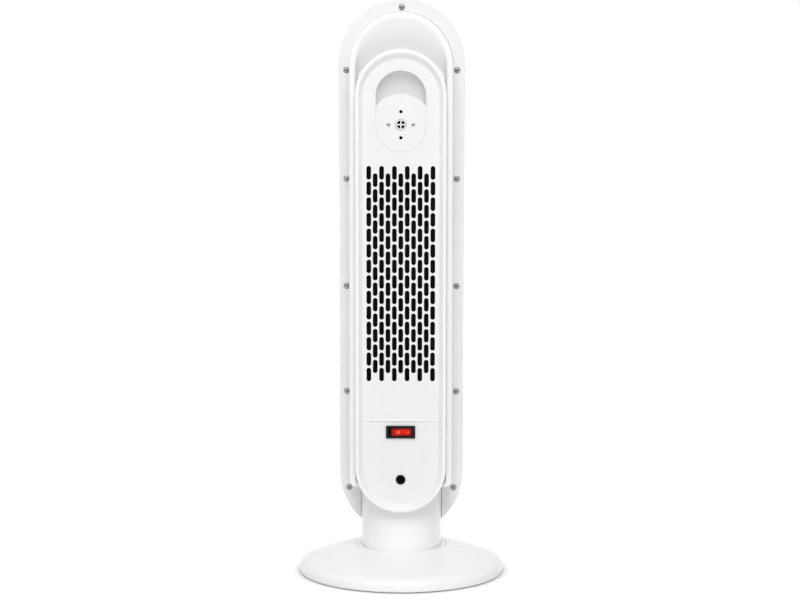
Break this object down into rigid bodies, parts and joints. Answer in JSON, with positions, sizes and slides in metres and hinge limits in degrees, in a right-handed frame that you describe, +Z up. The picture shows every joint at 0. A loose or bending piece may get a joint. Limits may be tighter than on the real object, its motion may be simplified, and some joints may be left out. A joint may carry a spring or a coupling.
{
  "type": "tower fan heater",
  "caption": "White tower fan heater on a round base that it swings on, with slotted rear intake, lit rocker switch, front outlet grille and push-button control panel.",
  "frame": {"origin": "middle of the round base, on the surface that the rubber feet stand on; the tower's swivel axis passes through it", "axes": "+Z up along the swivel axis; -Y towards the rear, with the intake slots and the rocker switch; +Y towards the front, where the warm air leaves; +X to the right as seen from the rear"},
  "size_m": [0.2222, 0.2222, 0.62],
  "materials": {
    "white_plastic": "satin white moulded plastic",
    "white_gloss_plastic": "smooth white moulded plastic",
    "black_plastic": "satin black",
    "dark_plastic": "matt dark grey",
    "grey_nylon": "natural nylon",
    "red_lens": "clear red, lit from inside",
    "screw_steel": "plated steel",
    "motor_steel": "zinc-plated sheet steel",
    "aluminium": "bare fins",
    "board_green": "solder-masked circuit board",
    "black_rubber": "matt",
    "smoked_window": "dark polished window"
  },
  "bodies": {
    "base": {"base_cover": "white_gloss_plastic", "base_plate": "dark_plastic", "rubber_foot_1": "black_rubber", "rubber_foot_2": "black_rubber", "rubber_foot_3": "black_rubber", "rubber_foot_4": "black_rubber", "base_screw_1": "screw_steel", "base_screw_2": "screw_steel", "base_screw_3": "screw_steel", "swing_gear": "grey_nylon", "swivel_slide_ring": "grey_nylon"},
    "tower": {"neck_column": "white_gloss_plastic", "neck_screw_1": "screw_steel", "neck_screw_2": "screw_steel", "swivel_retainer": "grey_nylon", "retainer_screw_1": "screw_steel", "retainer_screw_2": "screw_steel", "retainer_screw_3": "screw_steel", "swing_motor": "motor_steel", "front_shell": "white_plastic", "rear_shell": "white_plastic", "casing_screw_1": "screw_steel", "casing_screw_2": "screw_steel", "casing_screw_3": "screw_steel", "casing_screw_4": "screw_steel", "casing_screw_5": "screw_steel", "casing_screw_6": "screw_steel", "casing_screw_7": "screw_steel", "casing_screw_8": "screw_steel", "casing_screw_9": "screw_steel", "casing_screw_10": "screw_steel", "casing_screw_11": "screw_steel", "rear_panel": "white_plastic", "sensor_plate": "white_gloss_plastic", "sensor_port": "white_plastic", "sensor_screw_1": "screw_steel", "sensor_screw_2": "screw_steel", "room_thermistor": "black_plastic", "switch_housing": "black_plastic", "cord_gland": "black_rubber", "cord_clamp": "dark_plastic", "blower_housing": "dark_plastic", "blower_motor": "motor_steel", "blower_bearing": "black_rubber", "heater_frame": "black_plastic", "heater_core": "aluminium", "thermal_cutout": "motor_steel", "power_board": "board_green", "tilt_switch": "black_plastic", "outlet_grille": "dark_plastic", "control_panel": "black_plastic", "display_window": "smoked_window", "control_board": "board_green"},
    "pinion": {"swing_pinion": "grey_nylon"},
    "blower": {"blower_wheel": "dark_plastic"},
    "rocker": {"switch_rocker": "red_lens"},
    "button_1": {"control_button_1": "dark_plastic"},
    "button_2": {"control_button_2": "dark_plastic"},
    "button_3": {"control_button_3": "dark_plastic"},
    "button_4": {"control_button_4": "dark_plastic"}
  },
  "joints": [
    {"name": "tower_swing", "type": "hinge", "parent": "base", "child": "tower", "pos_m": [0, 0, 0.0243], "axis": [0, 0, 1], "range_deg": [-35, 35]},
    {"name": "pinion_spin", "type": "hinge", "parent": "tower", "child": "pinion", "pos_m": [0, 0.027, 0.0108], "axis": [0, 0, 1], "range_deg": [-75, 75]},
    {"name": "blower_spin", "type": "hinge", "parent": "tower", "child": "blower", "pos_m": [0, -0.0135, 0.3315], "axis": [0, 0, 1], "continuous": true},
    {"name": "rocker_tilt", "type": "hinge", "parent": "tower", "child": "rocker", "pos_m": [0, -0.049, 0.1623], "axis": [0, 0, -1], "range_deg": [0, 16]},
    {"name": "button_1_press", "type": "slide", "parent": "tower", "child": "button_1", "axis": [0, -1, 0], "range_m": [0, 0.0008], "stiffness_N_per_m": 200},
    {"name": "button_2_press", "type": "slide", "parent": "tower", "child": "button_2", "axis": [0, -1, 0], "range_m": [0, 0.0008], "stiffness_N_per_m": 200},
    {"name": "button_3_press", "type": "slide", "parent": "tower", "child": "button_3", "axis": [0, -1, 0], "range_m": [0, 0.0008], "stiffness_N_per_m": 200},
    {"name": "button_4_press", "type": "slide", "parent": "tower", "child": "button_4", "axis": [0, -1, 0], "range_m": [0, 0.0008], "stiffness_N_per_m": 200}
  ],
  "couplings": [
    {"joint": "pinion_spin", "follows": "tower_swing", "ratio": 2}
  ]
}
